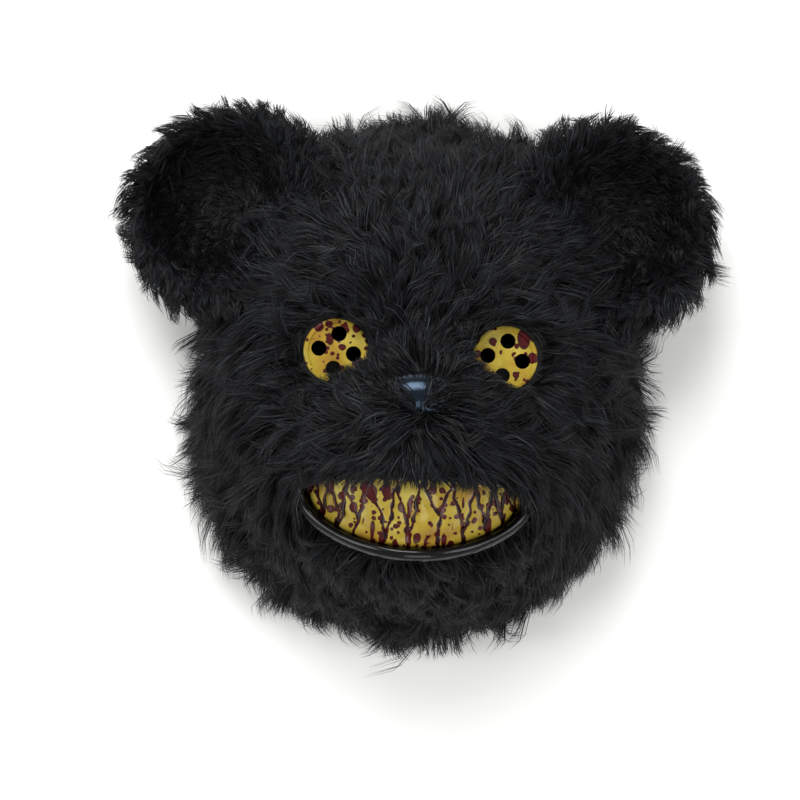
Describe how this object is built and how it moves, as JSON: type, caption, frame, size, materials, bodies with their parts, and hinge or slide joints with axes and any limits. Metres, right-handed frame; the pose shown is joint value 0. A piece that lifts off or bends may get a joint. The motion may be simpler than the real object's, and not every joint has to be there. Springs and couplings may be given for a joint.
{
  "type": "bear mask",
  "caption": "Full-face bear mask in long black fur with cupped ears, round button eyes, a glossy nose and a wide grin of pointed teeth.",
  "frame": {"origin": "on the resting plane under the middle of the whole mask's box, as it lies face up on the shell's rear rim", "axes": "+Z out of the face, +Y towards the crown, +X towards the face's side that is on the right seen from in front"},
  "size_m": [0.2988, 0.2707, 0.1308],
  "materials": {
    "shell_plastic": "glossy black moulded plastic",
    "black_fur": "long-pile black faux fur",
    "yellow_plastic": "glossy yellow plastic with dark red spatter",
    "elastic": "woven flat elastic",
    "rivet_metal": "satin"
  },
  "bodies": {
    "root": {"shell": "shell_plastic", "fur_cover": "black_fur", "ear_left": "black_fur", "ear_right": "black_fur", "eye_left": "yellow_plastic", "eye_right": "yellow_plastic", "nose": "shell_plastic", "teeth_plate": "yellow_plastic", "lip": "shell_plastic", "head_strap": "elastic", "rivet_left": "rivet_metal", "rivet_right": "rivet_metal"}
  },
  "joints": []
}
